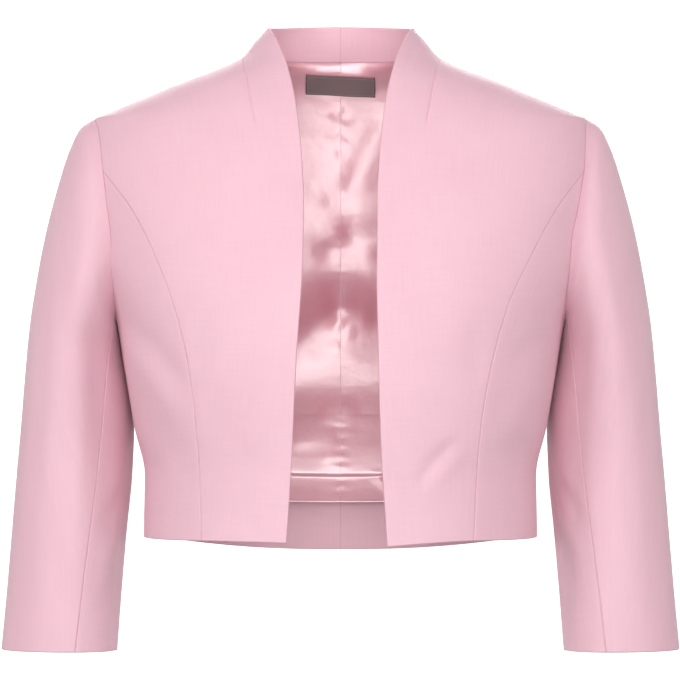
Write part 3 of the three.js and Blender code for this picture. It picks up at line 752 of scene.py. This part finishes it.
# Side fronts
# A narrow panel from the princess seam to the side seam, which runs up to a point in the armhole. It is of
# the same suiting, and shapes the chest and the waist.
SIDE_COLUMNS = 6
SIDE_SIZE = {"rows": 305, "across": 62}
SIDE_POINT = 0.03  # of a row, left off the panel's pointed top


def side_front(side):
    rows = ticks(0, PRINCESS_ROWS - SIDE_POINT, SIDE_SIZE["rows"], BODY_STEP)
    row, column = np.meshgrid(rows, ticks(0, SIDE_COLUMNS, SIDE_SIZE["across"], BODY_STEP), indexing="ij")
    level = princess_level(row)
    seam = shifted(turn_at_x(princess_half[side](level), level), level, -SEAM_HALF_GAP)
    hole_turn, hole_z = armhole(side, armhole_degrees(level))
    to_armhole = shifted(hole_turn, hole_z, SEAM_HALF_GAP)
    outer = np.where(row <= PRINCESS_LOWER, turn_at_y(-SEAM_HALF_GAP, level), to_armhole)
    turn = lerp(seam, outer, column / SIDE_COLUMNS)
    points = on_form(side, turn, level, 0 * level, BODY_CREASES[f"side_front_{side}"])
    turned = level > HEM_Z + TURNED_HEM
    panel = patch(points, across=CUT_FROM[side], free="low", seams="first last high", inside=turned)
    return cloth_shell(f"side_front_{side}_cloth", [panel], BODY_WALL, [suiting, satin], down_the_middle)


for side in SIDES:
    made = side_front(side)
    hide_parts(f"side_front_{side}")
    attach(made, "root")


# Backs
# Two halves joined by a seam down the centre back. The hem dips a little in the middle and is turned up
# inside, where it shows below the lining as a band of face cloth.
BACK_HEM = {"drop": 14.6, "curve": 2.4}
BACK_COLUMNS, NECK_COLUMNS = 12, 5
BACK_SIZE = {"up": 222, "across": 205}


def back_hem(x):
    return HEM_Z - BACK_HEM["drop"] * (1 - (x / form_edge(HEM_Z)) ** BACK_HEM["curve"])


def back_places(side, up, across):
    """Turn and height of the back above the underarm: from there to the neck and shoulder seams."""
    gap = SEAM_HALF_GAP
    middle_z, neck_share = lerp(UNDERARM_Z, -gap, up), NECK_COLUMNS / BACK_COLUMNS

    def centre(z):
        return -turn_at_x(np.full(up.shape, gap), z + 0 * up), z + 0 * up

    def edge(z):
        return turn_at_y(gap, z + 0 * up), z + 0 * up

    to_neck = mix(centre(-gap), edge(-gap), np.minimum(1, across / neck_share))
    to_tip = mix(edge(-gap), edge(SHOULDER_TIP_Z), np.clip((across - neck_share) / (1 - neck_share), 0, 1))
    top = tuple(np.where(across < neck_share, neck, tip) for neck, tip in zip(to_neck, to_tip))
    hole_turn, hole_z = armhole(side, lerp(180.0, 360.0, up))
    outer = np.minimum(shifted(hole_turn, hole_z, -gap), turn_at_y(gap, hole_z)), hole_z
    straight = mix(centre(middle_z), outer, across)
    straight_top = mix(centre(-gap), edge(SHOULDER_TIP_Z), across)
    return tuple(s + up**2 * (t - st) for s, t, st in zip(straight, top, straight_top))


def back_grid(side, above, up, across):
    """Turn and height of the back on one grid: heights above the hem, then shares above the underarm."""
    low, wide = np.meshgrid(above, across, indexing="ij")
    base, _ = back_places(side, np.zeros(low.shape), wide)
    hem = back_hem(form_point(base, HEM_Z)[..., 0])
    lower_z = lerp(hem, UNDERARM_Z, low / (UNDERARM_Z - HEM_Z))
    high, wide = np.meshgrid(up, across, indexing="ij")
    upper, upper_z = back_places(side, high, wide)
    return np.concatenate([base, upper]), np.concatenate([lower_z, upper_z])


def back(side):
    height = UNDERARM_Z - HEM_Z
    above = ticks(0, height, height, BODY_STEP)
    up = ticks(0, 1, BACK_SIZE["up"], BODY_STEP)[len(EDGE_TICKS):]
    across = ticks(0, 1, BACK_SIZE["across"], BODY_STEP)
    points = on_form(side, *back_grid(side, above, up, across), np.zeros(1), BODY_CREASES["back"])
    panel = patch(points, across=CUT_FROM[side], free="low", seams="first last high")
    return cloth_shell(f"back_{side}_cloth", [panel], BODY_WALL, [suiting], down_the_middle)


for side in SIDES:
    made = back(side)
    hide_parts(f"back_{side}")
    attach(made, "root")


# Sleeves
# Two-piece sleeves: the top sleeve passes over the shoulder to two seams that lie towards the body, and the
# under sleeve closes it. They hang free from the armhole and end in a plain turned hem below the elbow.
SLEEVE_WALL = 1.8
CAP_STEPS = 3
FIRST_RING = 0.35
SET_OFF = 1.7  # how far the sleeve stands off where it folds back on the body
CUFF_GIRTH = 270.0
CUFF_HEM = 35.0
SLEEVE_SIZE = {"rows": 445, "top_sleeve": 230, "under_sleeve": 120}
SLEEVE = columns("step out_x out_y out_z in_x in_y in_z depth full seam_a seam_b", [
    (0, 205, 0, -52, 186.8, 0, -222, 56, 0.15, 152, 252),
    (1, 216.4, 0, -59, 188.4, 0, -223.5, 60, 0.15, 151, 252),
    (2, 226, 0, -77, 188.3, 2, -225, 63, 0.14, 150, 252),
    (3, 237, 0, -111, 187.4, 6, -229, 65, 0.13, 148, 251),
    (4, 247.6, 0, -153, 186.2, 12, -235, 66, 0.11, 145, 250),
    (5, 254.9, 0, -192, 185, 19, -243, 66, 0.09, 141, 249),
    (6, 260, 0, -226, 182.4, 24, -255, 64.5, 0.06, 134, 248),
    (7, 264, 0, -268, 177.9, 25, -280, 61, 0.03, 125, 246),
    (8, 267.4, 0, -310, 174.9, 23, -312, 56, 0, 119, 244),
    (9, 271, -1, -350, 175.8, 15, -350, 50, 0, 116, 243),
    (10, 275, -3, -400, 180.2, 4, -400, 45, 0, 113, 242),
    (11, 279.1, -6, -450, 184.2, -4, -450, 41, 0, 110, 241),
    (12, 283.2, -10, -496, 187.7, -10, -497, 38, 0, 108, 240),
])
sleeve_at = {column: along(SLEEVE, "step", column) for column in SLEEVE}
SLEEVE_CREASES = {
    # millimetres round from the front of the sleeve towards the body, and height
    "left": [
        (72, -300, 66, -520, -3.4, 16, 12, 3),
        (-8, -130, 2, -470, 0.9, 9, 9, 3),
        (22, -180, 26, -440, -1.0, 10, 10, -3),
        (-40, -150, -34, -470, -0.7, 12, 12, 4),
        (58, -352, 30, -392, -1.8, 8, 8, 3),
        (60, -385, 34, -420, 1.3, 8, 8, 2),
        (66, -420, 40, -446, -1.2, 8, 8, 2),
        (30, -240, -30, -290, 0.6, 14, 14, 5),
    ],
    "right": [
        (70, -305, 64, -520, -3.4, 16, 12, -3),
        (-4, -130, 6, -470, 0.9, 9, 9, -3),
        (24, -190, 30, -440, -1.1, 10, 10, 3),
        (-44, -160, -36, -470, -0.7, 12, 12, -4),
        (60, -360, 34, -398, -1.6, 8, 8, 3),
        (62, -398, 36, -430, 1.4, 9, 9, 2),
        (64, -432, 38, -462, -1.0, 8, 8, 2),
        (34, -250, -26, -300, 0.6, 14, 14, 5),
    ],
}
ARC_PER_DEGREE = 0.9


def oval_point(at, angle):
    share = ((1 - np.cos(angle)) / 2)[..., None]
    outer = np.stack([at["out_x"], at["out_y"], at["out_z"]], -1)
    inner = np.stack([at["in_x"], at["in_y"], at["in_z"]], -1)
    point = lerp(outer, inner, share)
    point[..., 1] -= at["depth"] * np.sin(angle) * (1 - at["full"] * np.cos(angle))
    return point


def sleeve_point(side, step, degrees):
    """A point of the sleeve on the wearer's left, at a step along it and some degrees round from its top."""
    angle = np.radians(degrees)
    point = oval_point({column: read(step) for column, read in sleeve_at.items()}, angle)
    start = {column: np.full(step.shape, values[0]) for column, values in SLEEVE.items()}
    to_seam = form_point(*armhole(side, degrees)) - oval_point(start, angle)
    return point + to_seam * (np.clip(1 - step / CAP_STEPS, 0, 1) ** 2)[..., None]


def sleeve_normal(side, step, degrees):
    low, high = np.maximum(step - 0.02, 0), np.minimum(step + 0.02, SLEEVE["step"][-1])
    down = sleeve_point(side, high, degrees) - sleeve_point(side, low, degrees)
    around = sleeve_point(side, step, degrees + 1) - sleeve_point(side, step, degrees - 1)
    normal = np.cross(around, down)
    return normal / np.linalg.norm(normal, axis=-1, keepdims=True)


def sleeve_panel(side, part):
    steps = ticks(0, SLEEVE["step"][-1], SLEEVE_SIZE["rows"], BODY_STEP)
    step, share = np.meshgrid(steps, ticks(0, 1, SLEEVE_SIZE[part], BODY_STEP), indexing="ij")
    seam_a, seam_b = sleeve_at["seam_a"](step), sleeve_at["seam_b"](step)
    half = SEAM_HALF_GAP / CUFF_GIRTH * 360
    start, end = (seam_b - 360, seam_a) if part == "top_sleeve" else (seam_a, seam_b)
    degrees = lerp(start + half, end - half, share)
    points = sleeve_point(side, step, degrees)
    normal = sleeve_normal(side, np.maximum(step, FIRST_RING), degrees)
    first = sleeve_normal(side, np.full(step.shape, FIRST_RING), degrees)
    fold = (1 - np.einsum("...i,...i", form_normal(*armhole(side, degrees)), first)) / 2
    settle = np.clip(1 - step / CAP_STEPS, 0, 1) ** 2
    points[..., 0] += (2 * SEAM_HALF_GAP + SET_OFF * np.clip(fold, 0, 1)) * settle
    from_front = (degrees - 90) * ARC_PER_DEGREE
    height = creases(from_front, points[..., 2], SLEEVE_CREASES[side]) * (1 - settle)
    points = (points + normal * height[..., None]) * (SIDES[side], 1, 1)
    lined = np.broadcast_to(points[..., 2] > SLEEVE["out_z"][-1] + CUFF_HEM, step.shape)
    panel = patch(points, across=CUT_FROM[side], free="high", seams="first last low", inside=lined)
    ring = (sleeve_point(side, step, 0 * degrees) + sleeve_point(side, step, 0 * degrees + 180)) / 2
    finishes = [suiting, satin]
    return cloth_shell(
        f"{part}_{side}_cloth", [panel], SLEEVE_WALL, finishes, lambda _: ring * (SIDES[side], 1, 1)
    )


for side in SIDES:
    made = sleeve_panel(side, "top_sleeve")
    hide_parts(f"top_sleeve_{side}")
    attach(made, "root")
    made = sleeve_panel(side, "under_sleeve")
    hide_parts(f"under_sleeve_{side}")
    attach(made, "root")


# Back lining
# Two halves of satin, joined by a machined seam down the centre back that puckers. They hang from the neck
# and shoulder seams and end above the turned hem in a fold of spare length, which lets the back stretch.
LINING_WALL = 0.8
EASE_FOLD = columns("above off", [
    (41, 11.2),
    (41.8, 11.6),
    (42.8, 11.2),
    (61.4, 6.1),
    (62.2, 6.0),
    (63, 6.3),
    (65.2, 8.0),
    (66.2, 8.3),
    (67.2, 8.2),
    (115, 1.4),
])
ease_off = along(EASE_FOLD, "above", "off")
LINING_CREASES = [
    # across from the centre back and height: each fold's gentle side shines, and its upper side stays dull
    (-100, -313, 100, -306, 3.8, 110, 19, -3),
    (-20, -299, 16, -297, 0.9, 9, 12, 1),
    (-24, -242, 84, -238, 2.4, 42, 40, 0),
    (-60, -262, 20, -184, 4.2, 22, 21, 2),
    (-14, -208, 32, -214, 2.6, 15, 13, 2),
    (-24, -160, 38, -162, 1.7, 13, 9, -1),
    (-6, -144, 62, -150, 3.6, 10, 19, 2),
    (-14, -117, 4, -117, 0.6, 5, 6, 0),
    (46, -30, 2, -122, 2.2, 13, 22, -3),
    (-5, -77, 6, -75, 0.4, 4, 4, 0),
    (-9, -45, 3, -38, 0.45, 4, 4, 1),
    (2, -50, 11, -44, 0.45, 4, 4, 1),
    (-10, -63, -1, -58, 0.4, 3, 3, 0),
    (0, -60, 9, -65, 0.4, 3, 3, 0),
    (-9, -230, 3, -218, 0.5, 4, 4, 1),
    (2, -238, 12, -226, 0.5, 4, 4, 1),
    (-12, -244, 0, -242, 0.4, 3, 4, 0),
    (-12, -346, -7, -312, 0.5, 5, 6, 0),
    (-50, -324, -4, -316, 0.7, 8, 12, 2),
    (-62, -8, 8, -10, 2.0, 6, 7, -1.5),
    (-20, -6, 6, -3, 0.3, 3, 3, 1),
    (-6, -9, 62, -7, 1.9, 6, 8, 1.5),
    (22, -5, 40, -3, 0.3, 3, 3, 0),
    (28, -350, 46, -368, 1.2, 5, 4, 0),
    (-120, -120, -60, -190, 2.0, 14, 16, 4),
    (-110, -230, -50, -290, 2.2, 12, 15, -4),
    (64, -110, 130, -150, 2.0, 14, 16, -4),
    (60, -200, 110, -280, 2.2, 13, 15, 5),
    (70, -310, 140, -330, 1.8, 12, 14, 3),
    (-140, -320, -70, -330, 1.8, 12, 14, -3),
]
PUCKER = {"height": 0.2, "reach": 5.0, "pitch": 8.5}
LINING_HELD = 2.5  # below the neck seam, where its folds start
LINING_ROWS = {"lower": 40, "upper": 112}
LINING_COLUMNS = {"near": 0.2, "near_width": 41, "far": 0.19, "count": 60}
LINING_STEP = 1.0


def lining_relief(x, z):
    """How far the lining's puckers and soft folds stand off towards the inside."""
    height = creases(x, z, LINING_CREASES)
    wobble = z / PUCKER["pitch"] + 0.35 * np.sin(z / 23) + 0.22 * np.sin(z / 9.1 + 1)
    strength = 0.6 + 0.4 * np.sin(z / 31 + 0.6)
    pucker = PUCKER["height"] * strength * np.sin(2 * np.pi * wobble) * np.exp(-np.abs(x) / PUCKER["reach"])
    held = 1 - smoothstep(z, -LINING_HELD, 0)
    return (height + pucker) * held


def lining(side):
    height = UNDERARM_Z - HEM_Z
    fold_from, fold_to = EASE_FOLD["above"][0], EASE_FOLD["above"][-1]
    in_fold = ticks(fold_from, fold_to, fold_to - fold_from, LINING_STEP)
    above = np.concatenate([in_fold, np.linspace(fold_to, height, LINING_ROWS["lower"])[1:]])
    up = np.linspace(0, 1, LINING_ROWS["upper"])[1:]
    near_seam = ticks(0, LINING_COLUMNS["near"], LINING_COLUMNS["near_width"], LINING_STEP)
    further = np.linspace(LINING_COLUMNS["far"], 1, LINING_COLUMNS["count"])
    across = np.concatenate([near_seam[: -len(EDGE_TICKS)], further])
    low, wide = np.meshgrid(above, across, indexing="ij")
    base, _ = back_places(side, np.zeros(low.shape), wide)
    hem = back_hem(form_point(base, HEM_Z)[..., 0])
    share = (low - fold_to) / (height - fold_to)
    lower_z = np.where(low <= fold_to, hem + low, lerp(hem + fold_to, UNDERARM_Z, share))
    high, wide = np.meshgrid(up, across, indexing="ij")
    upper, upper_z = back_places(side, high, wide)
    turn, z = np.concatenate([base, upper]), np.concatenate([lower_z, upper_z])
    off = np.concatenate([ease_off(low), np.full(high.shape, ease_off(fold_to))])
    flat = form_point(turn, z)
    points = on_form(side, turn, z, -off - lining_relief(flat[..., 0] * SIDES[side], flat[..., 2]))
    panel = patch(points, across=CUT_FROM[side], free="low high last", seams="first")
    return cloth_shell(f"back_lining_{side}_cloth", [panel], LINING_WALL, [satin], down_the_middle)


for side in SIDES:
    made = lining(side)
    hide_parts(f"back_lining_{side}")
    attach(made, "root")


STITCH = {"half_length": 0.9, "radius": 0.36, "near_x": 0.8, "near_z": 1.6}
SEAM_STITCHES = {"first_z": -3.0, "last_z": -372.0, "pitch": 2.6}
THREAD_TWIST = 0.0006  # metres from one turn of the ply to the next


def thread_finish(name, light, deep):
    """Spun polyester thread, with its twist."""
    material = bpy.data.materials.new(name)
    material.use_nodes = True
    surface = material.node_tree.nodes["Principled BSDF"]
    shade = Shade(material.node_tree)
    place = shade.node("ShaderNodeTexCoord", output="Object")
    split = shade.node("ShaderNodeSeparateXYZ", None, {0: place}, "Z")
    ply = (split * (2 * math.pi / THREAD_TWIST)).sine()
    colour = shade.blend(light, deep, ply * 0.25 + shade.noise(place, 3000.0) * 0.5)
    relief = {"Strength": 0.4, "Distance": 0.00005, "Height": ply}
    bump = shade.node("ShaderNodeBump", None, relief, "Normal")
    links = {"Base Color": colour, "Normal": bump}
    set_finish(shade, surface, links, {"Roughness": 0.55, "Sheen Weight": 0.15})
    return material


def stitches(name, cloths, places, finish):
    """A row of short stitches that lie on the inside of the cloths, each at a place across and up."""
    ends = np.concatenate([[v.co for v in cloth.data.vertices] for cloth in cloths]) / MM
    lengths = [STITCH[way] * MM for way in ("radius", "radius", "half_length")]
    size = Matrix.Diagonal((*lengths, 1))
    row = bmesh.new()
    for x, z in places:
        near = (np.abs(ends[:, 0] - x) < STITCH["near_x"]) & (np.abs(ends[:, 2] - z) < STITCH["near_z"])
        place = Vector((x, ends[near, 1].min(), z)) * MM
        bmesh.ops.create_icosphere(row, subdivisions=2, radius=1.0, matrix=Matrix.Translation(place) @ size)
    for face in row.faces:
        face.smooth = True
    mesh = bpy.data.meshes.new(name)
    row.to_mesh(mesh)
    row.free()
    mesh.materials.append(finish)
    made = bpy.data.objects.new(name, mesh)
    bpy.context.scene.collection.objects.link(made)
    return made


seam_z = np.arange(SEAM_STITCHES["first_z"], SEAM_STITCHES["last_z"], -SEAM_STITCHES["pitch"])
halves = [bpy.data.objects[f"back_lining_{side}_cloth"] for side in SIDES]
seam_thread = thread_finish("lining_thread", tint(236, 206, 214), tint(190, 132, 146))
made = stitches("lining_seam_stitches", halves, [(0.0, z) for z in seam_z], seam_thread)
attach(made, "root")


# Label
# A plain woven ribbon with no lettering, stitched at its two ends to the lining below the neck; its ends lie
# flat rather than folded under.
LABEL = {"width": 60.0, "height": 16.5, "middle_z": -18.8, "off": 4.6, "tilt": 0.045, "wall": 0.9}
LABEL_THREAD = {"ground": tint(93, 73, 75), "raised": tint(118, 98, 99), "rib": 0.00045}
LABEL_STITCHES = {"x": 28.9, "ups": (0.12, 0.31, 0.5, 0.69, 0.88)}
LABEL_BEHIND = (1, 3, 1)  # scales a place on the label to one behind it, which its outer face turns away from


def label_finish():
    """Damask ribbon: fine ribs across it and a slightly raised border."""
    material, surface, shade, across, up, edge = start_finish("label_ribbon")
    ribs = (up * (2 * math.pi / LABEL_THREAD["rib"])).sine()
    fleck = shade.noise(shade.node("ShaderNodeCombineXYZ", None, {"X": across * 900, "Y": up * 300}), 1.0)
    border = edge.between(0.0011, 0.0013) * (1 - edge.between(0.0017, 0.0019))
    share = border * 0.7 + fleck * 0.3 + ribs * 0.08
    colour = shade.blend(LABEL_THREAD["ground"], LABEL_THREAD["raised"], share)
    relief = {"Strength": 0.5, "Distance": 0.0001, "Height": ribs * 0.5 + border}
    bump = shade.node("ShaderNodeBump", None, relief, "Normal")
    links = {"Base Color": colour, "Roughness": fleck * 0.15 + 0.42, "Normal": bump}
    set_finish(shade, surface, links, {"Sheen Weight": 0.2, "Specular IOR Level": 0.4})
    return material


def label_points(x, up):
    z = LABEL["middle_z"] + LABEL["height"] * (up - 0.5) - LABEL["tilt"] * x
    turn = -turn_at_x(np.abs(x), z)
    flat, normal = form_point(turn, z), form_normal(turn, z)
    flat[..., 0] *= np.sign(x)
    normal[..., 0] *= np.sign(x)
    wave = 0.5 * np.sin(x / 9.0 + 0.7) * (1 - up) + 0.25 * np.sin(x / 5.0)
    return flat - normal * (LABEL["off"] + wave)[..., None]


label_x = ticks(-LABEL["width"] / 2, LABEL["width"] / 2, LABEL["width"], 1.0)
label_up, label_across = np.meshgrid(ticks(0, 1, LABEL["height"], 0.9), label_x, indexing="ij")
ribbon = patch(label_points(label_across, label_up), free="low high first last")
label = cloth_shell(
    "label_ribbon", [ribbon], LABEL["wall"], [label_finish()], lambda points: points * LABEL_BEHIND
)
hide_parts("label")
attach(label, "root")

label_places = [
    (x, LABEL["middle_z"] + LABEL["height"] * (up - 0.5) - LABEL["tilt"] * x)
    for x in (-LABEL_STITCHES["x"], LABEL_STITCHES["x"])
    for up in LABEL_STITCHES["ups"]
]
label_thread = thread_finish("label_thread", tint(88, 66, 68), tint(60, 44, 46))
made = stitches("label_end_stitches", [label], label_places, label_thread)
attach(made, "root")
